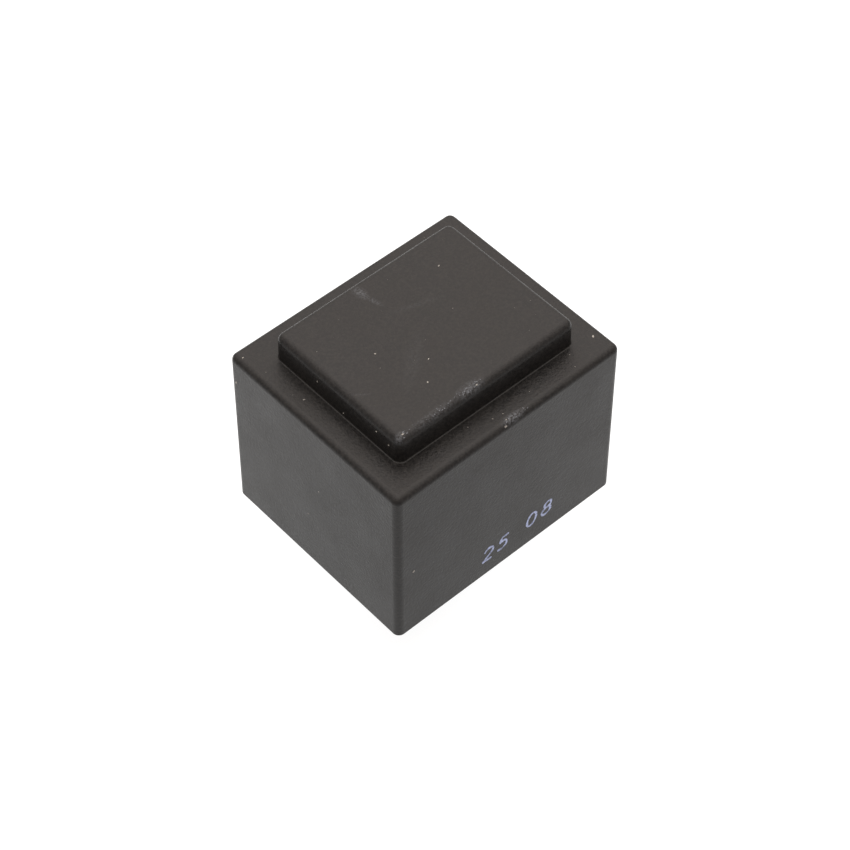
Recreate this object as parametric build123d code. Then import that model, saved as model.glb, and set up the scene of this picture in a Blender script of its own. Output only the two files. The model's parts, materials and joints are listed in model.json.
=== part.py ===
from build123d import *
import math
import os

# Encapsulated transformer for circuit boards. Millimetres. The origin is the middle of the
# seating plane, which is the rim of the case. X runs along the longer side, Z away from the board.

# Core: E and I sheets that lie flat, with the middle leg along Y through the bobbin
centre_leg = 10.0
outer_leg = 5.0
yoke = 5.0
window_width = 5.0
window_length = 15.0
sheet_pitch = 0.5
varnish = 0.02
sheet_count = 31
butt_gap = 0.04

# Bobbin: one tube with two end flanges and a partition, and a terminal block at each end
leg_clearance = 0.1
tube_wall = 0.8
tube_corner = 0.5
flange_thickness = 0.8
flange_corner = 1.0
flange_gap = 0.2
slot_width = 1.2
slot_lip = 0.2
channel_depth = 1.4
block_overhang = 2.2
block_skirt = 1.2
block_corner = 0.4
core_seat_gap = 0.3

# Windings and their insulation, which stay a margin inside the edges of the flanges
primary_margin = 0.45
secondary_margin = 0.65
interlayer = 0.1
tape = 0.15
primary_exit = 0.8
primary_lead_diameter = 0.2
secondary_lead_diameter = 0.3

# Pins on the board's 5 mm grid, numbered as seen from the board side
grid = 5.0
pin_diameter = 0.8
pin_length = 4.0
pin_chamfer = 0.2
shank = 0.9
shank_reach = 0.1
pin_cover = 0.5

# Solder joints
solder_radius = 1.2
solder_bevel = 0.4
solder_height = 1.1
solder_sides = 12
joint_gap = 0.1
wire_gap = 0.02
wire_tail = 0.2
wire_sides = 8

# Resin
resin_level = 0.5
rim_land = 0.15
meniscus = 0.3
land_width = 0.25
flange_cover = 0.4
joint_room = 1.7

# Case
wall = 1.0
draft_angle = 0.37
core_gap = 0.113
shelf_gap = 1.67
field_gap_x = 1.81
field_gap_y = 1.74
roof_gap = 0.45
field_draft = 0.8
shoulder_radius = 0.85
field_edge_radius = 0.95
field_foot_radius = 0.15

# What follows from the core
core_length = centre_leg + 2 * (window_width + outer_leg)
core_width = window_length + 2 * yoke
stack = sheet_count * sheet_pitch
window_middle = centre_leg / 2 + window_width / 2

# What follows for the bobbin
bore_half_width = centre_leg / 2 + leg_clearance
bore_half_height = stack / 2 + leg_clearance
tube_half_width = bore_half_width + tube_wall
tube_half_height = bore_half_height + tube_wall
flange_half_width = centre_leg / 2 + window_width - flange_gap
chamber_depth = flange_half_width - tube_half_width
flange_half_height = tube_half_height + chamber_depth
bobbin_end = window_length / 2 - flange_gap
chamber_start = flange_thickness / 2
chamber_end = bobbin_end - flange_thickness

# What follows for the windings, which fill the depth of their chambers
primary_build = chamber_depth - tape - primary_margin
secondary_build = (chamber_depth - interlayer - tape - secondary_margin) / 2

# The two rows of pins stand under the middle of the yokes
row_spacing = window_length + yoke

# Heights above the board
core_z = resin_level + flange_cover + flange_half_height
core_bottom = core_z - stack / 2
core_top = core_z + stack / 2
tube_bottom = core_z - tube_half_height
block_bottom = resin_level + joint_room
block_top = core_bottom - core_seat_gap
shank_top = block_top - pin_cover
shelf_inside = core_top + shelf_gap
shelf_top = shelf_inside + wall
roof_inside = core_z + flange_half_height + roof_gap
case_top = roof_inside + wall

# What follows for the case: its drafted walls clear the core's upper edge by core_gap
draft_slope = math.tan(math.radians(draft_angle))
case_length = core_length + 2 * (core_gap + wall + core_top * draft_slope)
case_width = core_width + 2 * (core_gap + wall + core_top * draft_slope)
cavity_corner = 2.5 * core_gap
field_length = 2 * (flange_half_width + field_gap_x + wall)
field_width = 2 * (bobbin_end + field_gap_y + wall)

# Each used pin: its step along X on the grid and the row that it stands in
pin_places = {1: (-2, -1), 5: (2, -1), 6: (2, 1), 7: (1, 1), 9: (-1, 1), 10: (-2, 1)}
PRIMARY_ROW = -1
UPWARDS = (Align.CENTER, Align.CENTER, Align.MIN)


def across(sketch, low_y, high_y):
    """A sketch of X and Z, centred on the core's height, as thick as the stretch along Y."""
    plane = Plane(origin=(0, high_y, core_z), x_dir=(1, 0, 0), z_dir=(0, -1, 0))
    return extrude(plane * sketch, amount=high_y - low_y)


def block(low, high):
    """A box between two opposite corners."""
    size = [b - a for a, b in zip(low, high)]
    middle = [(a + b) / 2 for a, b in zip(low, high)]
    return Pos(*middle) * Box(*size)


def pin_point(number):
    """Where a pin stands on the board."""
    step, row = pin_places[number]
    return step * grid, row * row_spacing / 2


def moulded(length, width, corner, height):
    """A drafted block on the seating plane, with its four upright edges rounded."""
    body = extrude(Rectangle(length, width), amount=height, taper=draft_angle)
    upright = [edge for edge in body.edges() if abs(edge.tangent_at(0.5).Z) > 0.5]
    return fillet(upright, corner)


def cavity():
    """The room inside the case: a wide lower part and the pocket under the raised field."""
    lower = moulded(case_length - 2 * wall, case_width - 2 * wall, cavity_corner, shelf_inside)
    pocket = RectangleRounded(field_length - 2 * wall, field_width - 2 * wall, cavity_corner)
    pocket = extrude(pocket, amount=roof_inside)
    return lower + pocket


def case():
    """The moulded cup, with rounded shoulders and the raised field over the winding."""
    body = extrude(Rectangle(case_length, case_width), amount=shelf_top, taper=draft_angle)
    body = fillet(body.edges() - body.faces().sort_by(Axis.Z)[0].edges(), shoulder_radius)
    field = Pos(0, 0, shelf_inside) * Rectangle(field_length, field_width)
    field = extrude(field, amount=case_top - shelf_inside, taper=field_draft)
    field = fillet(field.edges() - field.faces().sort_by(Axis.Z)[0].edges(), field_edge_radius)
    body = body + field
    foot = [
        edge
        for edge in body.edges()
        if abs(edge.center().Z - shelf_top) < 0.01
        and edge.bounding_box().size.length < 1.1 * field_length
        and abs(edge.center().X) < field_length / 2 + 0.01
        and abs(edge.center().Y) < field_width / 2 + 0.01
    ]
    body = fillet(foot, field_foot_radius)
    return body - cavity()


def tray():
    """The shallow hollow between the rim and the resin, coved where the resin wets the walls."""
    length = case_length - 2 * wall - 2 * land_width
    width = case_width - 2 * wall - 2 * land_width
    hollow = block((-length / 2, -width / 2, -1), (length / 2, width / 2, resin_level))
    return fillet(hollow.faces().sort_by(Axis.Z)[-1].edges(), meniscus)


def e_outline():
    """One E sheet: a plate with its two windows open towards +Y."""
    plate = Rectangle(core_length, core_width - yoke)
    plate = Pos(0, -yoke / 2) * plate
    window = Rectangle(window_width, window_length)
    windows = [Pos(side * window_middle, 0) * window for side in (-1, 1)]
    return plate - windows


def i_outline():
    """One I sheet, which closes the open end of an E."""
    depth = yoke - butt_gap
    return Pos(0, core_width / 2 - depth / 2) * Rectangle(core_length, depth)


def stacked(outline):
    """The sheets of one shape, every second one turned round, with varnish between them."""
    sheets = []
    for index in range(sheet_count):
        sheet = extrude(outline, amount=sheet_pitch - varnish)
        turned = Rot(0, 0, 180 * (index % 2)) * sheet
        sheets.append(Pos(0, 0, core_bottom + index * sheet_pitch) * turned)
    return Compound(children=sheets)


def core_room():
    """The space that the whole stack takes up, windows left out."""
    plate = Rectangle(core_length, core_width)
    window = Rectangle(window_width, window_length)
    windows = [Pos(side * window_middle, 0) * window for side in (-1, 1)]
    return Pos(0, 0, core_bottom) * extrude(plate - windows, amount=stack)


def bore():
    """The straight hole through the bobbin for the middle leg."""
    hole = Rectangle(2 * bore_half_width, 2 * bore_half_height)
    return across(hole, -bobbin_end, bobbin_end)


def slot_places():
    """The wire slots lie half way between the pins that flank them."""
    return [grid * (step + 0.5) for step in (-2, -1, 0, 1)]


def layer_height(x, depth):
    """The height of a turn that lies at a depth above the tube, at a place x along its underside."""
    corner_x = tube_half_width - tube_corner
    if abs(x) <= corner_x:
        return tube_bottom - depth
    radius = tube_corner + depth
    return tube_bottom + tube_corner - math.sqrt(radius**2 - (abs(x) - corner_x) ** 2)


def wire_exit(number):
    """Where a winding's wire leaves for its pin: the slot's place along X, the height, and the diameter."""
    step, row = pin_places[number]
    slot_x = grid * (step - math.copysign(0.5, step))
    if row == PRIMARY_ROW:
        depth, diameter = primary_exit * primary_build, primary_lead_diameter
    elif abs(step) == 1:
        depth, diameter = 0.5 * secondary_build, secondary_lead_diameter
    else:
        depth, diameter = 1.5 * secondary_build + interlayer, secondary_lead_diameter
    return slot_x, layer_height(slot_x, depth), diameter


def slot_height(row, x):
    """A flange's slot ends a lip below the tube, or higher where its wire needs the room."""
    wires = [wire_exit(number) for number, place in pin_places.items() if place[1] == row]
    tops = [height + diameter / 2 + wire_gap for slot_x, height, diameter in wires if slot_x == x]
    return max([tube_bottom - slot_lip] + tops)


def terminal_block(row):
    """The block under one yoke, notched for the wires, with five square pin holes."""
    half_length = 2 * grid + block_overhang
    near = bobbin_end
    far = row_spacing / 2 + block_skirt
    body = block((-half_length, near, block_bottom), (half_length, far, block_top))
    outer = body.faces().sort_by(Axis.Y)[-1].edges().filter_by(Axis.Z)
    body = fillet(outer, block_corner)
    for x in slot_places():
        low = (x - slot_width / 2, near, block_bottom)
        high = (x + slot_width / 2, near + channel_depth, block_top)
        body = body - block(low, high)
    hole = Box(shank, shank, shank_top - block_bottom, align=UPWARDS)
    for step in range(-2, 3):
        body = body - Pos(step * grid, row_spacing / 2, block_bottom) * hole
    return Rot(0, 0, 0 if row > 0 else 180) * body


def bobbin():
    """The moulded former: tube, end flanges, partition and terminal blocks in one piece."""
    tube = RectangleRounded(2 * tube_half_width, 2 * tube_half_height, tube_corner)
    flange = RectangleRounded(2 * flange_half_width, 2 * flange_half_height, flange_corner)
    former = across(tube, -bobbin_end, bobbin_end)
    former = former + across(flange, -chamber_start, chamber_start)
    for row in (-1, 1):
        ends = sorted((row * chamber_end, row * bobbin_end))
        former = former + across(flange, *ends) + terminal_block(row)
        for x in slot_places():
            low = (x - slot_width / 2, ends[0], core_z - flange_half_height)
            high = (x + slot_width / 2, ends[1], slot_height(row, x))
            former = former - block(low, high)
    return former - bore()


def layer(row, inner_depth, build):
    """A wound layer in one chamber, from one depth above the tube to another."""
    outer_depth = inner_depth + build
    outer = RectangleRounded(
        2 * (tube_half_width + outer_depth),
        2 * (tube_half_height + outer_depth),
        tube_corner + outer_depth,
    )
    inner = RectangleRounded(
        2 * (tube_half_width + inner_depth),
        2 * (tube_half_height + inner_depth),
        tube_corner + inner_depth,
    )
    ends = sorted((row * chamber_start, row * chamber_end))
    return across(outer - inner, *ends)


def pin(number):
    """A tinned pin: a square shank in the block and the resin, round where it meets the board."""
    x, y = pin_point(number)
    foot = resin_level - shank_reach
    upper = block((x - shank / 2, y - shank / 2, foot), (x + shank / 2, y + shank / 2, shank_top))
    lower = Cylinder(pin_diameter / 2, foot + pin_length, align=UPWARDS)
    lower = chamfer(lower.edges().sort_by(Axis.Z)[0], pin_chamfer)
    return upper + Pos(x, y, -pin_length) * lower


def lead(number):
    """A wire from a winding, through its slot and down the channel, then round its pin."""
    slot_x, start_z, diameter = wire_exit(number)
    x, y = pin_point(number)
    row = math.copysign(1, y)
    side = math.copysign(1, x)
    level = block_bottom - 2 * joint_gap - diameter / 2
    round_pin = shank / 2 + wire_gap + diameter / 2
    start_y = row * chamber_end
    drop_y = row * (bobbin_end + channel_depth / 2)
    route = [
        (slot_x, start_y, start_z),
        (slot_x, drop_y, start_z),
        (slot_x, drop_y, level),
        (x + side * round_pin, y - row * round_pin, level),
        (x + side * round_pin, y + row * round_pin, level),
        (x - side * round_pin, y + row * round_pin, level),
        (x - side * round_pin, y - row * wire_tail, level),
    ]
    section = Plane(origin=route[0], z_dir=(0, row, 0)) * RegularPolygon(diameter / 2, wire_sides)
    return sweep(section, path=Polyline(*route), transition=Transition.RIGHT)


def solder(number, wire):
    """The joint that fills between the wire and the pin, narrowing down the pin."""
    x, y = pin_point(number)
    bead = extrude(RegularPolygon(solder_radius, solder_sides), amount=-solder_height)
    bead = chamfer(bead.faces().sort_by(Axis.Z)[0].edges(), solder_bevel)
    return Pos(x, y, block_bottom - joint_gap) * bead - pin(number) - wire


def main():
    os.makedirs("parts", exist_ok=True)
    nodes = {"case": case(), "bobbin": bobbin()}
    nodes["e_laminations"] = stacked(e_outline())
    nodes["i_laminations"] = stacked(i_outline())
    outer_start = secondary_build + interlayer
    nodes["primary_winding"] = layer(-1, 0, primary_build)
    nodes["primary_tape"] = layer(-1, primary_build, tape)
    nodes["secondary_winding_1"] = layer(1, 0, secondary_build)
    nodes["secondary_interlayer"] = layer(1, secondary_build, interlayer)
    nodes["secondary_winding_2"] = layer(1, outer_start, secondary_build)
    nodes["secondary_tape"] = layer(1, outer_start + secondary_build, tape)
    for number in pin_places:
        nodes[f"pin_{number}"] = pin(number)
        nodes[f"lead_{number}"] = lead(number)
        nodes[f"solder_{number}"] = solder(number, nodes[f"lead_{number}"])
    resin = cavity() - block((-case_length, -case_width, -1), (case_length, case_width, rim_land))
    resin = resin - tray() - core_room() - bore()
    for name, solid in nodes.items():
        if name not in ("case", "e_laminations", "i_laminations"):
            resin = resin - solid
    nodes["potting_compound"] = resin
    for name, solid in nodes.items():
        export_step(solid, f"parts/{name}.step")
        print(name, len(solid.solids()), round(solid.volume, 2))


main()
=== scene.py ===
# %% [markdown]
# # A potted circuit-board transformer
# The object is a small mains transformer, sealed in a black moulded cup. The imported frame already
# holds its pieces at their real size, so none of them is made again here. This script gives them
# their surfaces, adds the ink, dust and flakes that lie on the case, and sets up the light and
# the camera.

# %% Load the frame
import json
import math

import bpy
import numpy as np
from mathutils import Matrix, Vector


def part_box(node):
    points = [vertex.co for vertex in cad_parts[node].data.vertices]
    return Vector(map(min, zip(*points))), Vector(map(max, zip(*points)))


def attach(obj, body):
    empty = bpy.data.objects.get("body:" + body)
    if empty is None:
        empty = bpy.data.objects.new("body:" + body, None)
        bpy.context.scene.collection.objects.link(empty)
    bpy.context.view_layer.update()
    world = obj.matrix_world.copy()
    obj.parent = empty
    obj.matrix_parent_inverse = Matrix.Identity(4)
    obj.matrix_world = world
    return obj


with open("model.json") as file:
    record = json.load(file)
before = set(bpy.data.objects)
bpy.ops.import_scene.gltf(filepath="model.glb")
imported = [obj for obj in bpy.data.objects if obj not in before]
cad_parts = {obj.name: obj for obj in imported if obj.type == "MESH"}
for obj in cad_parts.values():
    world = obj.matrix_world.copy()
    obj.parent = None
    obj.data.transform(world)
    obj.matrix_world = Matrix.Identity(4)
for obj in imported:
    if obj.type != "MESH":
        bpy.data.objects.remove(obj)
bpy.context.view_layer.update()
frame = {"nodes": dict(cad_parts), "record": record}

nodes = frame["nodes"]

# %% [markdown]
# ## The sizes that the marks hang on
# The ink, dust and flakes have to lie on the faces of the case. Rays shot at its mesh would find
# those faces, but they are flat walls and plain roundings, so a few sizes give them exactly. The
# case's box gives its rim and its roof. The raised field on top, the shelf round it, the
# roundings and the slope of the walls are known from the drawing.

# %% Places of the case's faces, in millimetres
MM = 0.001
case_high = np.array(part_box("case")[1]) / MM
rim_half, roof = case_high[:2], case_high[2]
shelf = 23.87
field_half = np.array([12.61, 10.04])
shoulder_radius, field_radius = 0.85, 0.95
draft = math.tan(math.radians(0.37))
pin_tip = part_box("pin_1")[0].z / MM
print("roof", round(roof, 2), "shelf", shelf, "rim", rim_half.round(2))
print("pin tips", round(pin_tip, 2))

# %% [markdown]
# ## Camera
# The photograph looks down on one upright edge of the case. A camera can be dragged about until
# the edges fit, but that hides a wrong distance behind a wrong lens. Seven corners of the case
# show, and the vanishing lines of its edges give the direction and the distance, so the camera is
# worked out from those. It looks down at 51 degrees, through a long lens that keeps the far edges
# nearly parallel to the near ones.

# %% Camera
azimuth, elevation, roll = (math.radians(angle) for angle in (-42.09, 50.716, 0.165))
distance_mm = 274.66
aim_right_mm, aim_up_mm = 0.034, 7.000
lens_mm, sensor_mm = 101.15, 36

back = Vector((
    math.sin(azimuth) * math.cos(elevation),
    -math.cos(azimuth) * math.cos(elevation),
    math.sin(elevation),
))
level = Vector((0, 0, 1)).cross(back).normalized()
upright = back.cross(level)
right = math.cos(roll) * level + math.sin(roll) * upright
up = math.cos(roll) * upright - math.sin(roll) * level
eye = (aim_right_mm * right + aim_up_mm * up + distance_mm * back) * MM

camera = bpy.data.objects.new("camera", bpy.data.cameras.new("camera"))
bpy.context.scene.collection.objects.link(camera)
camera.matrix_world = Matrix((
    (right.x, up.x, back.x, eye.x),
    (right.y, up.y, back.y, eye.y),
    (right.z, up.z, back.z, eye.z),
    (0, 0, 0, 1),
))
camera.data.lens = lens_mm
camera.data.sensor_width = sensor_mm
camera.data.clip_start, camera.data.clip_end = 0.01, 20
bpy.context.scene.camera = camera
print("camera at", [round(c / MM, 1) for c in eye], "mm")

# %% [markdown]
# ## Colours and nodes
# Colours are written as sRGB hex values, as a paint chart gives them. A shader wants linear light,
# so one function turns them round. A finish could be clicked together in the shader editor. Here
# each one is a recipe instead: a function that adds its nodes one by one and gives back what goes
# into the Principled shader. It can be read from top to bottom, and its sizes can be worked out
# from millimetres. One small function adds any node, and another closes every finish.

# %% Colour and node helpers
# A Mix node keeps its two colours in sockets 6 and 7, and the mixed colour in output 2
COLOUR_A, COLOUR_B, MIXED = 6, 7, 2


def linear(hex_colour):
    """Linear RGBA of an sRGB hex value: a short straight toe, and above it a power of 2.4."""
    parts = np.array([int(hex_colour[i:i + 2], 16) / 255 for i in (1, 3, 5)])
    light = np.where(parts <= 0.04045, parts / 12.92, ((parts + 0.055) / 1.055) ** 2.4)
    return (*light.tolist(), 1.0)


def per_metre(size_mm):
    """A texture's scale for features of a size in millimetres: how many fit in a metre. An array
    of sizes gives one scale for each axis."""
    return 1 / (size_mm * MM)


def add(tree, kind, inputs=None, out=0, **settings):
    """Adds one node and gives back one of its outputs. inputs gives each socket, by name or by
    number, a value or the output of another node. settings are the node's own."""
    node = tree.nodes.new("ShaderNode" + kind)
    for name, value in settings.items():
        setattr(node, name, value)
    for socket, value in (inputs or {}).items():
        if isinstance(value, bpy.types.NodeSocket):
            tree.links.new(value, node.inputs[socket])
        else:
            node.inputs[socket].default_value = value
    return node.outputs[out] if node.outputs else None


def make_material(name, recipe, *choices):
    """A material in an emptied tree. Its recipe starts from the place of each point on the object,
    in metres, and gives back the inputs of the Principled shader that ends it."""
    material = bpy.data.materials.new(name)
    material.use_nodes = True
    tree = material.node_tree
    tree.nodes.clear()
    place = add(tree, "TexCoord", out="Object")
    surface = add(tree, "BsdfPrincipled", recipe(tree, place, *choices))
    add(tree, "OutputMaterial", {"Surface": surface})
    print(name, "has", len(tree.nodes), "nodes")
    return material


print("mid grey #808080 is", round(linear("#808080")[0], 3), "in linear light")

# %% [markdown]
# ## Light table
# The object was shot on a lit white table, so its ground is pure white and holds no shadow. White
# paper under lamps would need so much light that the case turned grey. A large plane that gives
# off most of its own light, and takes a little from above, leaves the case dark. It glows more
# strongly behind the object than in front, because the two near walls get brighter towards the
# back. The glow is a disk that just covers the picture, so its middle lies behind the object, and
# outside it the table is a plain pale grey.

# %% Light table
table_half_mm = 4000
glow_in_front, glow_behind, glow_far_off = 0.87, 1.12, 0.25
front_mm, behind_mm = -25, 15
disk_middle_mm, disk_full_mm, disk_end_mm = 30, 90, 120
glow_turn = math.radians(10)
away = Vector((-back.x, -back.y, 0)).normalized()
brighter_towards = Matrix.Rotation(glow_turn, 3, "Z") @ away


def lit_opal_acrylic(tree, place):
    """Opal acrylic over lamps: a white glow with no edges. Its strength rises along one direction,
    and falls off between two distances from the disk's middle."""
    depth = add(
        tree, "VectorMath", {0: place, 1: brighter_towards}, "Value", operation="DOT_PRODUCT")
    middle = away * disk_middle_mm * MM
    radius = add(tree, "VectorMath", {0: place, 1: middle}, "Value", operation="DISTANCE")
    near = add(tree, "MapRange", {
        "Value": depth, "From Min": front_mm * MM, "From Max": behind_mm * MM,
        "To Min": glow_in_front, "To Max": glow_behind})
    glow = add(tree, "MapRange", {
        "Value": radius, "From Min": disk_full_mm * MM, "From Max": disk_end_mm * MM,
        "To Min": near, "To Max": glow_far_off}, interpolation_type="SMOOTHSTEP")
    return {
        "Base Color": linear("#5a5a5a"),
        "Roughness": 0.7,
        "Emission Color": linear("#ffffff"),
        "Emission Strength": glow,
    }


corners = np.array([(-1, -1), (1, -1), (1, 1), (-1, 1)]) * table_half_mm
table_points = np.column_stack((corners, np.full(4, pin_tip))) * MM
table_mesh = bpy.data.meshes.new("light_table")
table_mesh.from_pydata(table_points.tolist(), [], [(0, 1, 2, 3)])
table_mesh.materials.append(make_material("opal_acrylic", lit_opal_acrylic))
table = bpy.data.objects.new("light_table", table_mesh)
bpy.context.scene.collection.objects.link(table)
print("light table at", round(pin_tip, 2), "mm, where the pins end")

# %% [markdown]
# ## Studio dome
# Black plastic shows little but what it mirrors, so the room round it matters more than any lamp.
# The room could be built of lit cards, but the edge of each card would show as a line in the
# glossy roundings. A world background gives a room without edges. Its brightness is one number
# for each direction: the height, plus a quarter of how far the direction points away from the
# camera. So the room is as bright at 15 degrees up behind the object as at 43 degrees on the
# camera's side, which is dark up to about 30 degrees. That dark belt draws the dark line along
# each near shoulder and dims the upright walls of the raised field.

# %% Studio dome
lean, top_of_scale = 0.25, 1.25
room_strength = 2.24
room_tint = np.array([1.05, 0.97, 0.92])
# Each place on the scale, from level to overhead, with the room's brightness there
stops = [
    (0.0, 0.28), (0.2, 0.3), (0.36, 0.42), (0.48, 0.62), (0.6, 0.86), (0.7, 0.95), (0.82, 1.15)]

world = bpy.data.worlds.new("studio")
bpy.context.scene.world = world
world.use_nodes = True
sky = world.node_tree
sky.nodes.clear()
direction = add(sky, "TexCoord", out="Generated")
scale_axis = Vector((away.x * lean, away.y * lean, 1.0)) / top_of_scale
lightness = add(sky, "VectorMath", {0: direction, 1: scale_axis}, "Value", operation="DOT_PRODUCT")
room_light = add(sky, "ValToRGB", {"Fac": lightness})
# A new ramp has two stops already, which become the first two of the list
ramp = room_light.node.color_ramp.elements
for index, (place_on_scale, brightness) in enumerate(stops):
    stop = ramp[index] if index < 2 else ramp.new(place_on_scale)
    stop.position = place_on_scale
    stop.color = (*(brightness * room_tint), 1)
dome = add(sky, "Background", {"Color": room_light, "Strength": room_strength})
add(sky, "OutputWorld", {"Surface": dome})
bpy.context.scene.view_settings.view_transform = "Standard"
print("studio dome with", len(stops), "stops")

# %% [markdown]
# ## Softbox
# One soft lamp hangs high above the object and a little behind it. The dome could be made brighter
# there, but its slow ramp can't hold a small light. A round area lamp adds a little warm light
# from just behind straight up, and its width keeps what the roundings mirror of it soft.

# %% Softbox
softbox_wide_m, softbox_away_m, softbox_watts = 0.6, 0.9, 0.5
softbox_height = math.radians(72)
towards_softbox = away * math.cos(softbox_height) + Vector((0, 0, math.sin(softbox_height)))

softbox = bpy.data.objects.new("softbox", bpy.data.lights.new("softbox", "AREA"))
bpy.context.scene.collection.objects.link(softbox)
softbox.data.shape = "DISK"
softbox.data.size = softbox_wide_m
softbox.data.energy = softbox_watts
softbox.data.color = (1.0, 0.94, 0.89)
softbox.location = towards_softbox * softbox_away_m
softbox.rotation_euler = towards_softbox.to_track_quat("Z", "Y").to_euler()
print("softbox", softbox_wide_m, "m wide")

# %% [markdown]
# ## Rub marks
# The case was handled: its top has smears, and its near edges are scuffed where something rubbed
# them. The marks could be painted on an image, but that needs the case unwrapped. Nine soft balls
# of influence, each placed and stretched with a Mapping node, are enough, and each can be moved
# by changing its numbers. The finish of the case then turns paler inside them.

# %% Where the case was rubbed
# The middle, the reach along X, Y and Z, both in mm, the turn about Z, the strength
rubs = [
    ((-1.9, 8.3, roof), (0.8, 1.4, 0.5), 4, 0.55),
    ((-1.6, 6.6, roof), (0.4, 1.6, 0.5), 12, 0.4),
    ((-2.2, -9.4, roof - 0.2), (2.4, 1.0, 0.8), 0, 0.55),
    ((-7.4, -9.5, roof - 0.2), (4.6, 0.7, 0.7), 0, 0.35),
    ((-12.0, -9.4, roof - 0.25), (0.9, 0.6, 0.8), 30, 0.7),
    ((0.6, -13.1, shelf - 0.15), (1.9, 0.7, 0.7), 0, 0.8),
    ((-4.0, -2.6, roof), (5.0, 1.3, 0.5), 38, 0.09),
    ((1.3, 3.1, roof), (4.0, 0.5, 0.5), -18, 0.09),
    ((-11.2, -2.5, roof), (1.4, 0.2, 0.5), -38, 0.15),
]


def rub_mask(tree, place):
    """The strongest rub at each point. A rub falls from its strength to nothing at its reach."""
    shares = []
    for middle, reach, turn, strength in rubs:
        ball = add(tree, "Mapping", {
            "Vector": place,
            "Location": Vector(middle) * MM,
            "Rotation": (0, 0, math.radians(turn)),
            "Scale": Vector(reach) * MM,
        }, vector_type="TEXTURE")
        fall = add(tree, "TexGradient", {"Vector": ball}, "Fac", gradient_type="SPHERICAL")
        shares.append(add(tree, "Math", {0: fall, 1: strength}, operation="MULTIPLY"))
    mask = shares[0]
    for share in shares[1:]:
        mask = add(tree, "Math", {0: mask, 1: share}, operation="MAXIMUM")
    return mask


print(len(rubs), "rubs on the case")

# %% [markdown]
# ## Moulded case
# The cup is PBT with glass fibre, injection moulded in a spark-eroded tool. A photograph of such
# plastic could be wrapped round it, but it would bring its own light and leave seams. Noises that
# are read at each point in space run over the edges unbroken and keep their real size, so every
# finish here is made of them. The plastic is almost black. What the eye sees is the tool's fine
# grain, which breaks up the reflections, a mottle in the skin, and slow clouds of more or less
# gloss where it cooled unevenly. Where it was rubbed, it is scraped pale.

# %% Material of the case
# The tool's real grain is about 0.06 mm, which is half a pixel here, so it is drawn coarser
grain_mm, scrape_mm, mottle_mm, wave_mm, cloud_mm = 0.16, 0.22, 0.3, 1.6, 5.0
# Smooth PBT has an IOR near 1.55. The pits of the grain mirror less, so it was matched lower
case_ior = 1.36
# Each noise of the case: the size of its features, its detail, its roughness
case_noises = [
    (grain_mm, 3.0, 0.65), (scrape_mm, 4.0, 0.7), (mottle_mm, 3.0, 0.55),
    (wave_mm, 1.0, 0.55), (cloud_mm, 4.0, 0.55),
]


def moulded_pbt(tree, place):
    """Near-black glass-filled PBT: satin, with a fine spark grain, cloudy gloss and pale rubs."""
    grain, scrape, mottle, wave, cloud = (
        add(tree, "TexNoise", {
            "Vector": place, "Scale": per_metre(size), "Detail": detail, "Roughness": roughness})
        for size, detail, roughness in case_noises)

    # Colour: two blacks in clouds, brownish where the mottle is high, pale where it is scraped
    cloudy = add(tree, "MapRange", {"Value": cloud, "From Min": 0.35, "From Max": 0.65})
    plastic = add(tree, "Mix", {
        "Factor": cloudy, COLOUR_A: linear("#0a0909"), COLOUR_B: linear("#110f0e"),
    }, MIXED, data_type="RGBA")
    mottled = add(tree, "MapRange", {
        "Value": mottle, "From Min": 0.4, "From Max": 0.7, "To Max": 0.9})
    plastic = add(tree, "Mix", {
        "Factor": mottled, COLOUR_A: plastic, COLOUR_B: linear("#211f1d"),
    }, MIXED, data_type="RGBA")
    broken = add(tree, "MapRange", {"Value": scrape, "From Min": 0.42, "From Max": 0.6})
    rubbed = add(tree, "Math", {0: rub_mask(tree, place), 1: broken}, operation="MULTIPLY")
    colour = add(tree, "Mix", {
        "Factor": rubbed, COLOUR_A: plastic, COLOUR_B: linear("#63666b"),
    }, MIXED, data_type="RGBA")

    # Gloss: slow clouds, with the mottle on them
    slow_gloss = add(tree, "MapRange", {
        "Value": cloud, "From Min": 0.3, "From Max": 0.7, "To Min": 0.36, "To Max": 0.43})
    fine_gloss = add(tree, "MapRange", {
        "Value": mottle, "From Min": 0.3, "From Max": 0.7, "To Min": -0.06, "To Max": 0.06})
    gloss = add(tree, "Math", {0: slow_gloss, 1: fine_gloss}, operation="ADD")

    # Relief: waves, the mottle on them, and the grain on that
    relief = add(tree, "Bump", {"Height": wave, "Distance": 0.012 * MM})
    relief = add(tree, "Bump", {"Height": mottle, "Distance": 0.035 * MM, "Normal": relief})
    relief = add(tree, "Bump", {
        "Height": grain, "Strength": 0.9, "Distance": 0.02 * MM, "Normal": relief})
    return {"Base Color": colour, "Roughness": gloss, "IOR": case_ior, "Normal": relief}


case_plastic = make_material("moulded_black_pbt", moulded_pbt)

# %% [markdown]
# ## Casting resin
# The open side of the cup is filled with black polyurethane, poured warm and left to level itself.
# It sets with a glossy skin that sags slowly between the pins, and the last air leaves small
# craters. They could be cut into the mesh, but they are a tenth of a millimetre deep, so a bump
# is enough to catch the light. Each is the middle of a cell of a cell pattern, and a slow noise
# keeps only some of them, as real bubbles come in groups.

# %% Material of the resin
bubble_mm, haze_mm, group_mm, sag_mm = 2.6, 3.0, 6.0, 7.0


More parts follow.
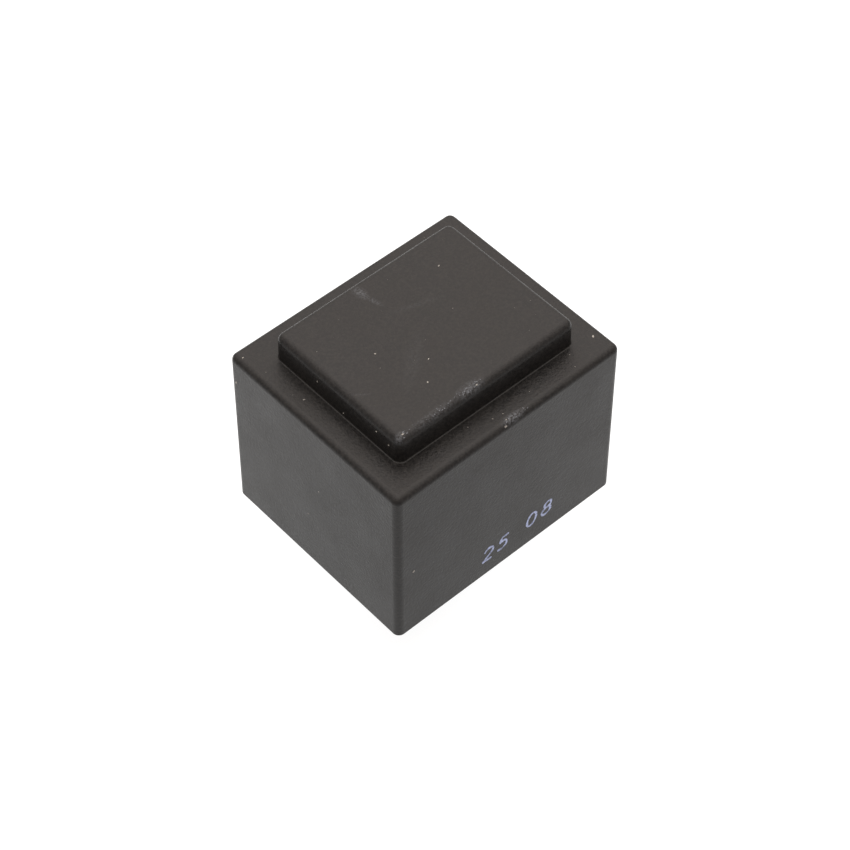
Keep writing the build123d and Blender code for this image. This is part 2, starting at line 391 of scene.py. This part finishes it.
def cast_polyurethane(tree, place):
    """Black self-levelled resin: glossy, slowly rippled, with small craters left by bubbles."""
    bubble = add(tree, "TexVoronoi", {
        "Vector": place, "Scale": per_metre(bubble_mm)}, "Distance", feature="F1")
    haze = add(tree, "TexNoise", {
        "Vector": place, "Scale": per_metre(haze_mm), "Detail": 4.0, "Roughness": 0.55})
    group = add(tree, "TexNoise", {
        "Vector": place, "Scale": per_metre(group_mm), "Detail": 3.0, "Roughness": 0.55})
    sag = add(tree, "TexNoise", {
        "Vector": place, "Scale": per_metre(sag_mm), "Detail": 1.0, "Roughness": 0.55})

    hole = add(tree, "MapRange", {
        "Value": bubble, "From Min": 0.05, "From Max": 0.13, "To Min": 1.0, "To Max": 0.0})
    few = add(tree, "MapRange", {"Value": group, "From Min": 0.5, "From Max": 0.56})
    crater = add(tree, "Math", {0: hole, 1: few}, operation="MULTIPLY")
    relief = add(tree, "Bump", {"Height": sag, "Distance": 0.35 * MM})
    relief = add(tree, "Bump", {
        "Height": crater, "Strength": 0.9, "Distance": 0.12 * MM, "Normal": relief}, invert=True)
    hazy = add(tree, "MapRange", {"Value": haze, "From Min": 0.35, "From Max": 0.7})
    colour = add(tree, "Mix", {
        "Factor": hazy, COLOUR_A: linear("#0b0b0d"), COLOUR_B: linear("#141416"),
    }, MIXED, data_type="RGBA")
    gloss = add(tree, "MapRange", {
        "Value": haze, "From Min": 0.3, "From Max": 0.7, "To Min": 0.16, "To Max": 0.3})
    return {"Base Color": colour, "Roughness": gloss, "IOR": 1.5, "Normal": relief}


casting_resin = make_material("cast_black_polyurethane", cast_polyurethane)

# %% [markdown]
# ## Bobbin
# The bobbin is moulded in natural nylon with glass fibre, which is a warm cream. The fibres lie
# along the flow and show as fine pale streaks, and a little light goes into the skin. The streaks
# could be hairs, but a noise stretched with a Mapping node gives thousands of them at no cost.

# %% Material of the bobbin
# Real fibres are about 0.01 mm thick, too fine to show, so the streaks are drawn wider
fibre_mm = np.array([0.12, 1.4, 0.12])
tint_mm = 4.0


def moulded_nylon(tree, place):
    """Cream glass-filled nylon: satin, softened by light in its skin, streaked along Y."""
    flow = add(tree, "Mapping", {"Vector": place, "Scale": per_metre(fibre_mm)})
    fibre = add(tree, "TexNoise", {"Vector": flow, "Scale": 1.0, "Detail": 2.0, "Roughness": 0.55})
    tint = add(tree, "TexNoise", {
        "Vector": place, "Scale": per_metre(tint_mm), "Detail": 3.0, "Roughness": 0.55})

    warm = add(tree, "MapRange", {"Value": tint, "From Min": 0.3, "From Max": 0.7})
    body = add(tree, "Mix", {
        "Factor": warm, COLOUR_A: linear("#cfc3a3"), COLOUR_B: linear("#dcd2b6"),
    }, MIXED, data_type="RGBA")
    streaked = add(tree, "MapRange", {
        "Value": fibre, "From Min": 0.5, "From Max": 0.75, "To Max": 0.6})
    colour = add(tree, "Mix", {
        "Factor": streaked, COLOUR_A: body, COLOUR_B: linear("#efe8d4"),
    }, MIXED, data_type="RGBA")
    gloss = add(tree, "MapRange", {
        "Value": fibre, "From Min": 0.3, "From Max": 0.7, "To Min": 0.38, "To Max": 0.5})
    relief = add(tree, "Bump", {"Height": fibre, "Strength": 0.5, "Distance": 0.008 * MM})
    return {
        "Base Color": colour, "Roughness": gloss, "IOR": 1.53, "Normal": relief,
        "Subsurface Weight": 0.08, "Subsurface Radius": (0.8 * MM, 0.6 * MM, 0.4 * MM),
    }


bobbin_nylon = make_material("moulded_cream_nylon", moulded_nylon)

# %% [markdown]
# ## Core sheets
# The core is a stack of punched sheets of silicon steel. They were annealed after punching, which
# leaves a thin blue-grey oxide with brown patches, and rolling left fine lines along the strip.
# A shader that stretches its highlights could stand for the lines, but it makes them all alike.
# A noise stretched along X makes some lines deeper than others, as they are on the sheet.

# %% Material of the core
# Real rolled lines are about 0.02 mm apart, too fine to show, so they are drawn wider apart
rolled_mm = np.array([5.0, 0.09, 0.09])
oxide_mm = 3.5


def annealed_steel(tree, place):
    """Silicon steel with annealing oxide: grey-blue metal, fine lines along X, brownish clouds."""
    strip = add(tree, "Mapping", {"Vector": place, "Scale": per_metre(rolled_mm)})
    rolled = add(tree, "TexNoise", {
        "Vector": strip, "Scale": 1.0, "Detail": 2.0, "Roughness": 0.55})
    oxide = add(tree, "TexNoise", {
        "Vector": place, "Scale": per_metre(oxide_mm), "Detail": 4.0, "Roughness": 0.55})

    brown = add(tree, "MapRange", {"Value": oxide, "From Min": 0.42, "From Max": 0.62})
    metal = add(tree, "Mix", {
        "Factor": brown, COLOUR_A: linear("#73787f"), COLOUR_B: linear("#7d7468"),
    }, MIXED, data_type="RGBA")
    bare = add(tree, "MapRange", {
        "Value": rolled, "From Min": 0.35, "From Max": 0.7, "To Max": 0.6})
    colour = add(tree, "Mix", {
        "Factor": bare, COLOUR_A: metal, COLOUR_B: linear("#9a9ea3"),
    }, MIXED, data_type="RGBA")
    gloss = add(tree, "MapRange", {
        "Value": rolled, "From Min": 0.3, "From Max": 0.7, "To Min": 0.34, "To Max": 0.5})
    relief = add(tree, "Bump", {"Height": rolled, "Strength": 0.6, "Distance": 0.006 * MM})
    return {"Base Color": colour, "Metallic": 1.0, "Roughness": gloss, "Normal": relief}


core_steel = make_material("annealed_silicon_steel", annealed_steel)

# %% [markdown]
# ## Enamelled wire
# Each winding is one solid ring in the frame, so its turns are a pattern: ridges a wire's width
# apart, along the axis that the wire is wound round, which is Y. Thousands of modelled turns
# would look the same and take millions of faces. The copper shows through a clear polyurethane
# enamel, which a coat over the metal gives. The wires that lead to the pins are single, so they
# get the same copper without the ridges.

# %% Material of the wire
# The mains wire is really about 0.07 mm thick, less than a pixel, so its turns are drawn wider
fine_wire_mm, thick_wire_mm = 0.14, 0.3
tarnish_mm = 0.6


def enamelled_copper(tree, place, wire_mm=None):
    """Copper under clear enamel: warm metal with a gloss of its own. The ridges are a sine along
    Y whose period is one wire and a fifth of the wire deep. Painted shade darkens the hollows
    between the turns."""
    tarnish = add(tree, "TexNoise", {
        "Vector": place, "Scale": per_metre(tarnish_mm), "Detail": 4.0, "Roughness": 0.55})
    pink = add(tree, "MapRange", {"Value": tarnish, "From Min": 0.35, "From Max": 0.65})
    copper = add(tree, "Mix", {
        "Factor": pink, COLOUR_A: linear("#a4532c"), COLOUR_B: linear("#bb6a3c"),
    }, MIXED, data_type="RGBA")
    gloss = add(tree, "MapRange", {
        "Value": tarnish, "From Min": 0.3, "From Max": 0.7, "To Min": 0.22, "To Max": 0.34})
    surface = {
        "Base Color": copper, "Metallic": 0.9, "Roughness": gloss,
        "Coat Weight": 0.8, "Coat Roughness": 0.12,
    }
    if wire_mm is not None:
        along = add(tree, "SeparateXYZ", {"Vector": place}, "Y")
        angle = add(tree, "Math", {
            0: along, 1: 2 * math.pi * per_metre(wire_mm)}, operation="MULTIPLY")
        ridge = add(tree, "Math", {0: angle}, operation="SINE")
        # Painted shade: the colour turns dark brown in the hollows between the turns, where shade
        # falls
        painted_groove_shade = add(tree, "MapRange", {
            "Value": ridge, "From Min": -1.0, "From Max": -0.2, "To Min": 0.75, "To Max": 0.0})
        surface["Base Color"] = add(tree, "Mix", {
            "Factor": painted_groove_shade, COLOUR_A: copper, COLOUR_B: linear("#3c170b"),
        }, MIXED, data_type="RGBA")
        surface["Normal"] = add(tree, "Bump", {"Height": ridge, "Distance": 0.2 * wire_mm * MM})
    return surface


primary_wire = make_material("enamelled_copper_fine", enamelled_copper, fine_wire_mm)
secondary_wire = make_material("enamelled_copper_thick", enamelled_copper, thick_wire_mm)
single_wire = make_material("enamelled_copper_single", enamelled_copper)

# %% [markdown]
# ## Tape
# Each winding is wrapped in yellow polyester film with an acrylic glue. The film is smooth and
# shiny. It shows faint ribs where it bridges the turns below, and broad wrinkles where it was
# pulled tight. Cloth could be wrapped and pulled, but the film is stiff and lies flat, so two
# stretched noises as bumps are nearer to it.

# %% Material of the tape
wrinkle_mm, ribs_mm = np.array([6.0, 0.9, 6.0]), np.array([9.0, 0.3, 9.0])


def polyester_film(tree, place):
    """Yellow polyester tape: glossy film over slow wrinkles and the faint ribs of the turns."""
    broad = add(tree, "Mapping", {"Vector": place, "Scale": per_metre(wrinkle_mm)})
    wrinkle = add(tree, "TexNoise", {
        "Vector": broad, "Scale": 1.0, "Detail": 2.0, "Roughness": 0.55})
    fine = add(tree, "Mapping", {"Vector": place, "Scale": per_metre(ribs_mm)})
    ribs = add(tree, "TexNoise", {"Vector": fine, "Scale": 1.0, "Detail": 1.0, "Roughness": 0.55})

    slack = add(tree, "MapRange", {"Value": wrinkle, "From Min": 0.3, "From Max": 0.7})
    colour = add(tree, "Mix", {
        "Factor": slack, COLOUR_A: linear("#d49a12"), COLOUR_B: linear("#e6b62b"),
    }, MIXED, data_type="RGBA")
    gloss = add(tree, "MapRange", {
        "Value": ribs, "From Min": 0.3, "From Max": 0.7, "To Min": 0.18, "To Max": 0.3})
    relief = add(tree, "Bump", {"Height": wrinkle, "Distance": 0.06 * MM})
    relief = add(tree, "Bump", {
        "Height": ribs, "Strength": 0.6, "Distance": 0.03 * MM, "Normal": relief})
    return {
        "Base Color": colour, "Roughness": gloss, "IOR": 1.6, "Normal": relief,
        "Coat Weight": 0.4, "Coat Roughness": 0.1,
    }


polyester_tape = make_material("yellow_polyester_film", polyester_film)

# %% [markdown]
# ## Pins
# The pins are cut from copper-clad steel wire and tinned. Drawing leaves fine lines along them,
# and the tin has dulled in patches. A plain shiny metal would look like chrome, so both its gloss
# and its colour change with the patches, and the lines roughen it on top of that.

# %% Material of the pins
# Real drawing lines are about 0.01 mm apart, too fine to show, so they are drawn wider apart
drawn_mm = np.array([0.05, 0.05, 2.4])
dull_mm = 0.9


def tinned_wire(tree, place):
    """Drawn and tinned wire: soft bright metal, lines along Z, dull patches where the tin aged."""
    along = add(tree, "Mapping", {"Vector": place, "Scale": per_metre(drawn_mm)})
    drawn = add(tree, "TexNoise", {"Vector": along, "Scale": 1.0, "Detail": 2.0, "Roughness": 0.55})
    dull = add(tree, "TexNoise", {
        "Vector": place, "Scale": per_metre(dull_mm), "Detail": 4.0, "Roughness": 0.55})

    aged = add(tree, "MapRange", {"Value": dull, "From Min": 0.4, "From Max": 0.65})
    colour = add(tree, "Mix", {
        "Factor": aged, COLOUR_A: linear("#c9c7c0"), COLOUR_B: linear("#a19f99"),
    }, MIXED, data_type="RGBA")
    patches = add(tree, "MapRange", {
        "Value": dull, "From Min": 0.35, "From Max": 0.7, "To Min": 0.22, "To Max": 0.4})
    lines = add(tree, "MapRange", {
        "Value": drawn, "From Min": 0.3, "From Max": 0.7, "To Min": -0.04, "To Max": 0.06})
    gloss = add(tree, "Math", {0: patches, 1: lines}, operation="ADD")
    relief = add(tree, "Bump", {"Height": drawn, "Strength": 0.8, "Distance": 0.006 * MM})
    return {"Base Color": colour, "Metallic": 1.0, "Roughness": gloss, "Normal": relief}


tinned_pin = make_material("tinned_copper_clad_wire", tinned_wire)

# %% [markdown]
# ## Solder
# The solder round the tops of the pins froze quickly. That leaves crystals, and the skin between
# them shrinks into small dents, so it is frosty and doesn't mirror. The dents could be modelled,
# but they are only about a pixel wide, so one fine noise gives colour, gloss and relief together.

# %% Material of the solder
frost_mm = 0.12


def dull_solder(tree, place):
    """Tin solder that froze quickly: frosty grey metal with small dents."""
    frost = add(tree, "TexNoise", {
        "Vector": place, "Scale": per_metre(frost_mm), "Detail": 4.0, "Roughness": 0.7})
    crystals = add(tree, "MapRange", {"Value": frost, "From Min": 0.35, "From Max": 0.65})
    colour = add(tree, "Mix", {
        "Factor": crystals, COLOUR_A: linear("#9d9e9f"), COLOUR_B: linear("#bdbdbb"),
    }, MIXED, data_type="RGBA")
    gloss = add(tree, "MapRange", {
        "Value": frost, "From Min": 0.3, "From Max": 0.7, "To Min": 0.34, "To Max": 0.56})
    relief = add(tree, "Bump", {"Height": frost, "Strength": 0.6, "Distance": 0.02 * MM})
    return {"Base Color": colour, "Metallic": 1.0, "Roughness": gloss, "Normal": relief}


tin_solder = make_material("dull_tin_solder", dull_solder)

# %% [markdown]
# ## Dressing the frame
# Each piece gets the finish of what it is made of. The pieces could be named here one by one, but
# the record already says which material slot each has, so one loop goes through it. Only the
# windings share a slot and still differ, in their wire, so they are named.

# %% Dress every piece
slot_finish = {
    "moulded_black": case_plastic,
    "casting_resin": casting_resin,
    "moulded_bobbin": bobbin_nylon,
    "core_steel": core_steel,
    "enamelled_wire": single_wire,
    "polyester_tape": polyester_tape,
    "tinned_pin": tinned_pin,
    "solder": tin_solder,
}
own_finish = {
    "primary_winding": primary_wire,
    "secondary_winding_1": secondary_wire,
    "secondary_winding_2": secondary_wire,
}
for subpart in frame["record"]["subparts"]:
    name = subpart["node"]
    mesh = nodes[name].data
    mesh.materials.clear()
    mesh.materials.append(own_finish.get(name, slot_finish[subpart["material_slot"]]))
print(len(nodes), "pieces dressed")

# %% [markdown]
# ## Closed forms
# The ink, the dust and the flakes are many small closed forms. Each form is rings of points
# between two poles, and only the places of the points differ. Blender's own tubes and balls would
# each be an object to bend, turn and join, more than a hundred times over. Here one function
# lists the faces of any such form, and another joins many forms into one piece.

# %% Skin and piece
def skin(rings, around):
    """The faces of a form whose points are a pole, rings of around points each, and a second pole.
    Quads join each ring to the next, and a fan of triangles closes each pole. All look outwards
    where the rings turn about the direction that leads back to the first pole."""
    ring, spot = np.divmod(np.arange((rings - 1) * around), around)
    here, beside = 1 + ring * around + spot, 1 + ring * around + (spot + 1) % around
    quads = np.stack((here, here + around, beside + around, beside), -1)
    k = np.arange(around)
    beyond = (k + 1) % around
    last = rings * around + 1
    first_fan = np.stack((0 * k, 1 + k, 1 + beyond), -1)
    last_fan = np.stack((0 * k + last, last - around + beyond, last - around + k), -1)
    return quads, np.vstack((first_fan, last_fan))


def make_piece(name, forms, material):
    """Joins forms into one smooth piece. Each is its points in millimetres, quads and fans, and
    its faces are counted on from the points of the forms before it."""
    starts = np.cumsum([0] + [len(points) for points, _, _ in forms[:-1]])
    points = np.vstack([points for points, _, _ in forms]) * MM
    quads = np.vstack([quads + start for (_, quads, _), start in zip(forms, starts)])
    fans = np.vstack([fans + start for (_, _, fans), start in zip(forms, starts)])
    mesh = bpy.data.meshes.new(name)
    mesh.from_pydata(points.tolist(), [], quads.tolist() + fans.tolist())
    mesh.shade_smooth()
    mesh.materials.append(material)
    piece = bpy.data.objects.new(name, mesh)
    bpy.context.scene.collection.objects.link(piece)
    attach(piece, "root")
    print(name, "has", len(points), "points and", 2 * len(quads) + len(fans), "triangles")


print("3 rings of 8 points have", [len(part) for part in skin(3, 8)], "quads and triangles")

# %% [markdown]
# ## Stamped digits
# Four digits are stamped in pale ink near the bottom of the long wall. They are plain numbers
# here. A text object would give a printer's clean letters, and an image would need the wall
# unwrapped. A hand stamp gives strokes with round ends that swell where it pressed, so each
# stroke is a thin ribbon of ink along a smooth line. Its section is an oval whose lower half is
# sunk in the plastic, so that it stays a closed form.

# %% A ribbon along a line
steps_in_cap, tip_share = 5, 1e-3
swell, swell_pace = 0.2, 1.7


def through(points, steps=10):
    """A smooth line through points: a cubic between two points whose slope at each point is half
    the step from the point before it to the point after it. The end points count twice."""
    p = np.asarray(points, float)
    p = np.vstack((p[:1], p, p[-1:]))
    t = np.linspace(0, 1, steps, endpoint=False)[None, :, None]
    a, b, c, d = (p[k:len(p) - 3 + k, None] for k in range(4))
    line = (b + t * (c - a) / 2 + t**2 * (a - 2.5 * b + 2 * c - d / 2)
            + t**3 * (1.5 * (b - c) + (d - a) / 2))
    return np.vstack((line.reshape(-1, p.shape[1]), p[-1]))


def ribbon(line, out, width, thickness, around=10):
    """A closed oval tube along a line on a face. Each ring is line + side * width/2 * cos(angle)
    + out * thickness/2 * sin(angle). The rings shrink over the last half width, as a circle does,
    so that the ends are round, and the width swells by a fifth where the stamp pressed harder."""
    run = np.concatenate(([0], np.cumsum(np.linalg.norm(np.diff(line, axis=0), axis=1))))
    length, half, tip = run[-1], width / 2, tip_share * width
    cap = half * (1 - np.cos(np.linspace(0, np.pi / 2, steps_in_cap)))[1:-1]
    between_caps = run[(run > half) & (run < length - half)]
    where = np.unique(np.concatenate((cap, length - cap, between_caps)))
    where = np.concatenate(([tip], where, [length - tip]))
    centre = np.column_stack([np.interp(where, run, line[:, k]) for k in range(3)])
    side = np.cross(np.gradient(centre, axis=0), out)
    side /= np.linalg.norm(side, axis=1)[:, None]
    to_end = np.minimum(np.minimum(where, length - where) / half, 1)
    roundness = np.sqrt(1 - (1 - to_end) ** 2)
    pressure = 1 + swell * np.sin(where / width * swell_pace + line[0, 0])
    angle = np.linspace(0, 2 * np.pi, around, endpoint=False)[None, :, None]
    oval = (side[:, None] * width / 2 * np.cos(angle)
            + np.asarray(out) * thickness / 2 * np.sin(angle))
    rings = centre[:, None] + (roundness * pressure)[:, None, None] * oval
    return np.vstack((line[:1], rings.reshape(-1, 3), line[-1:])), *skin(len(where), around)


trial = ribbon(through([(0, 0, 0), (1, 0, 0), (1, 0, 1)]), (0, -1, 0), 0.3, 0.04)
print("a ribbon of", len(trial[0]), "points")

# %% The strokes of the digits
# A round stroke runs on past its start, so that its two round ends lie in each other
round_turn = np.linspace(0, 2 * np.pi + 0.5, 14)


def ring_stroke(x, y, half_wide, half_high):
    """A round stroke: its middle plus half its width * cos and half its height * sin of a turn."""
    return np.column_stack((
        x + half_wide * np.cos(round_turn), y + half_high * np.sin(round_turn)))


# Each stroke's points in its digit's own box, which is 1 high and up to 0.8 wide
strokes = {
    "2": [
        [(0.04, 0.74), (0.14, 0.93), (0.38, 1.0), (0.62, 0.9),
         (0.68, 0.7), (0.56, 0.48), (0.28, 0.22), (0.02, 0.02)],
        [(0.02, 0.02), (0.36, 0.03), (0.74, 0.01)]],
    "5": [
        [(0.7, 0.98), (0.44, 0.99), (0.18, 0.97)],
        [(0.18, 0.97), (0.14, 0.76), (0.1, 0.54)],
        [(0.1, 0.54), (0.32, 0.63), (0.56, 0.56), (0.68, 0.34),
         (0.58, 0.12), (0.34, 0.0), (0.03, 0.07)]],
    "0": [ring_stroke(0.37, 0.5, 0.33, 0.5)],
    "8": [ring_stroke(0.38, 0.76, 0.25, 0.24), ring_stroke(0.36, 0.26, 0.33, 0.27)],
}
# Each digit with the place of its lower left corner along X and Z, in millimetres
stamped = [("2", -3.85, 2.35), ("5", -1.6, 2.55), ("0", 2.75, 2.9), ("8", 5.1, 3.05)]
digit_height, digit_slant, ink_width, ink_thickness = 2.0, 0.22, 0.32, 0.03
wall_out = np.array([0, -1, draft]) / math.hypot(1, draft)


def on_long_wall(points, x, z):
    """Takes a digit's own points to the drafted wall, whose Y is the rim's less draft * Z."""
    points = np.asarray(points, float) * digit_height
    height = z + points[:, 1]
    along = x + points[:, 0] + digit_slant * points[:, 1]
    return np.column_stack((along, -(rim_half[1] - draft * height), height))


digit_forms = [
    ribbon(through(on_long_wall(stroke, x, z), steps=6), wall_out, ink_width, ink_thickness)
    for digit, x, z in stamped for stroke in strokes[digit]
]
print(len(digit_forms), "strokes of ink in digits of", digit_height, "mm")

# %% The ink and the digits
ink_mottle_mm = 0.35


def pigment_ink(tree, place):
    """Pale blue-white pigment ink, stamped: matt, thin where the rubber stamp did not press."""
    thin = add(tree, "TexNoise", {
        "Vector": place, "Scale": per_metre(ink_mottle_mm), "Detail": 4.0, "Roughness": 0.7})
    worn = add(tree, "MapRange", {
        "Value": thin, "From Min": 0.42, "From Max": 0.62, "To Max": 0.85})
    colour = add(tree, "Mix", {
        "Factor": worn, COLOUR_A: linear("#a3add0"), COLOUR_B: linear("#565b70"),
    }, MIXED, data_type="RGBA")
    gloss = add(tree, "MapRange", {
        "Value": thin, "From Min": 0.3, "From Max": 0.7, "To Min": 0.5, "To Max": 0.7})
    relief = add(tree, "Bump", {"Height": thin, "Strength": 0.6, "Distance": 0.01 * MM})
    return {"Base Color": colour, "Roughness": gloss, "IOR": 1.45, "Normal": relief}


stamping_ink = make_material("pale_stamping_ink", pigment_ink)
make_piece("stamped_digits", digit_forms, stamping_ink)

# %% [markdown]
# ## Dust
# Bright specks lie on the top, the shelf and the walls. A particle system could scatter them all,
# but the larger ones can be made out, so each of those is placed, and only the small ones are
# scattered. A speck is a lump: a ball whose radius varies with direction, pressed flat along the
# face's normal. The random numbers come from a fixed seed, so each run is alike.

# %% Lumps on a face
seed, unevenness = 31, 0.22
rng = np.random.default_rng(seed)


def lump(middle, out, reach, flat=0.45, long=1.0, turn=0.0, rings=6, around=9):
    """A closed uneven ball. Its points are middle + R * (reach * (1 + unevenness) * direction),
    where R turns Z to the face's normal, Z is pressed by flat and X is drawn out by long."""
    polar = np.linspace(0, np.pi, rings + 1)[1:-1, None]
    angle = np.linspace(0, 2 * np.pi, around, endpoint=False)[None]
    ball = np.stack((
        np.sin(polar) * np.cos(angle),
        np.sin(polar) * np.sin(angle),
        np.cos(polar) + 0 * angle,
    ), -1).reshape(-1, 3)
    ball = np.vstack(((0, 0, 1), ball, (0, 0, -1)))
    ball *= reach * (1 + rng.uniform(-unevenness, unevenness, len(ball)))[:, None]
    ball *= (long, 1 / math.sqrt(long), flat)
    turned = Vector(out).to_track_quat("Z", "Y").to_matrix() @ Matrix.Rotation(turn, 3, "Z")
    return ball @ np.array(turned).T + middle, *skin(rings - 1, around)


def on_left_wall(y, z):
    """The point of the drafted left wall at a Y and a Z. Its X is the rim's plus draft * Z."""
    return -rim_half[0] + z * draft, y, z


print("lumps are uneven by", unevenness, "of their reach")

# %% The dust
up_out = (0, 0, 1)
left_out = (-math.cos(math.atan(draft)), 0, math.sin(math.atan(draft)))
field_left = -field_half[0]
field_left_out = (-1, 0, 0)
# The specks that can be made out: the place, the way that the face looks, the reach
seen_dust = [
    ((-6.43, 0.73, roof), up_out, 0.11), ((-4.93, -5.86, roof), up_out, 0.1),
    ((7.06, 5.63, roof), up_out, 0.09), ((-2.73, -3.56, roof), up_out, 0.08),
    ((-15.3, 12.1, shelf), up_out, 0.09), ((-14.19, 3.3, shelf), up_out, 0.09),
    ((14.72, -10.7, shelf), up_out, 0.15), ((11.02, -10.9, shelf), up_out, 0.06),
    ((-3.88, -11.0, shelf), up_out, 0.07), ((-1.18, -11.9, shelf), up_out, 0.07),
    ((0.1, -12.1, shelf), up_out, 0.05), (on_left_wall(12.6, 20.0), left_out, 0.15),
    (on_left_wall(-0.9, 13.7), left_out, 0.08), (on_left_wall(1.1, 7.9), left_out, 0.08),
    ((field_left, 2.89, 25.9), field_left_out, 0.1),
    ((-13.93, -rim_half[1] + 10.2 * draft, 10.2), wall_out, 0.12),
    ((field_left, -1.25, 24.4), field_left_out, 0.07),
    ((field_left, -6.5, 26.2), field_left_out, 0.08),
    ((field_left, -8.4, 25.7), field_left_out, 0.08),
]
seen_long, small_long = (1.0, 1.5), (1.0, 2.2)
dust_forms = [
    lump(np.array(middle), out, reach, turn=rng.uniform(0, np.pi), long=rng.uniform(*seen_long))
    for middle, out, reach in seen_dust
]

# The small ones fall on the field or the shelf by chance, clear of the roundings
small_tries, small_reach = 45, (0.015, 0.035)
clear_of_roof_edge, clear_of_shelf_edge, clear_of_foot = 1.1, 1.2, 0.3
for _ in range(small_tries):
    on_field = rng.random() < 0.5
    half = field_half - clear_of_roof_edge if on_field else rim_half - clear_of_shelf_edge
    spot = rng.uniform(-half, half)
    if on_field or (abs(spot) > field_half + clear_of_foot).any():
        middle = np.array([*spot, roof if on_field else shelf])
        reach, long, turn = rng.uniform(*small_reach), rng.uniform(*small_long), rng.uniform(0, 3)
        dust_forms.append(lump(middle, up_out, reach, long=long, turn=turn))
print(len(dust_forms), "grains of dust")

# %% [markdown]
# ## Flakes and chips
# Where the edges were scuffed, crumbs of whitened plastic still cling to them. Paler colour alone
# would look like a stain, and it is the small lit and shaded sides of the crumbs that say scuff.
# So many small flakes are strewn along each rubbed stretch, crowded towards its middle, and four
# larger chips are placed one by one.

# %% Flakes along the rubbed edges
def on_edge(along, middle_y, middle_z, radius, lean_angle):
    """A point on a rounded edge along X, and its normal: the rounding's centre plus radius times
    the normal, which leans from straight up towards -Y by lean_angle."""
    out = np.array([0, -math.sin(lean_angle), math.cos(lean_angle)])
    return np.array([along, middle_y, middle_z]) + radius * out, out


# The field's walls have a draft as well, which brings the edge in by this much
edge_in = 0.04
field_edge = (-(field_half[1] - field_radius - edge_in), roof - field_radius, field_radius)
case_edge = (
    -(rim_half[1] - draft * shelf - shoulder_radius), shelf - shoulder_radius, shoulder_radius)
straight_from, most_lean = -11.6, 0.7
flake_flat, flake_share, flake_long, flake_turn = 0.3, (0.5, 1.3), (1.2, 3.5), 0.5
# The middle of each rubbed stretch along X, its spread, how many flakes, their reach, the edge
scuffs = [
    (-2.2, 0.8, 26, 0.05, field_edge), (-6.4, 2.2, 30, 0.035, field_edge),
    (-11.4, 0.3, 8, 0.05, field_edge), (0.9, 0.8, 16, 0.04, case_edge),
]
flake_forms = []
for middle, spread, count, usual_reach, edge in scuffs:
    for _ in range(count):
        point, out = on_edge(rng.normal(middle, spread), *edge, rng.uniform(0.0, most_lean))
        if point[0] > straight_from:
            reach, long = usual_reach * rng.uniform(*flake_share), rng.uniform(*flake_long)
            turn = rng.normal(0, flake_turn)
            flake_forms.append(lump(point, out, reach, flake_flat, long, turn))
print(len(flake_forms), "flakes")

# %% Chips
chip_flat, chip_long = 0.5, 1.4
# The place along X, the lean, the reach, the edge
chips = [
    (-0.7, 0.9, 0.14, case_edge), (-0.2, 0.2, 0.08, case_edge),
    (-1.3, 0.45, 0.09, field_edge), (-11.5, 0.3, 0.1, field_edge),
]
for along, lean_angle, reach, edge in chips:
    point, out = on_edge(along, *edge, lean_angle)
    dust_forms.append(lump(point, out, reach, chip_flat, chip_long))
print(len(chips), "chips, kept with the dust, which is as bright")

# %% The two kinds of crumb
crumb_mottle_mm = 0.3


def pale_crumbs(tree, place, light, dark):
    """Dust or whitened plastic: matt, in shades between a light and a dark grey."""
    mixed = add(tree, "TexNoise", {
        "Vector": place, "Scale": per_metre(crumb_mottle_mm), "Detail": 3.0, "Roughness": 0.55})
    share = add(tree, "MapRange", {"Value": mixed, "From Min": 0.35, "From Max": 0.65})
    colour = add(tree, "Mix", {
        "Factor": share, COLOUR_A: linear(dark), COLOUR_B: linear(light),
    }, MIXED, data_type="RGBA")
    gloss = add(tree, "MapRange", {
        "Value": mixed, "From Min": 0.3, "From Max": 0.7, "To Min": 0.5, "To Max": 0.8})
    return {"Base Color": colour, "Roughness": gloss, "IOR": 1.5}


dust = make_material("settled_dust", pale_crumbs, "#aaa69f", "#5f5b57")
whitened = make_material("whitened_plastic", pale_crumbs, "#7d8086", "#3a3c40")
make_piece("dust_grains", dust_forms, dust)
make_piece("scuff_flakes", flake_forms, whitened)
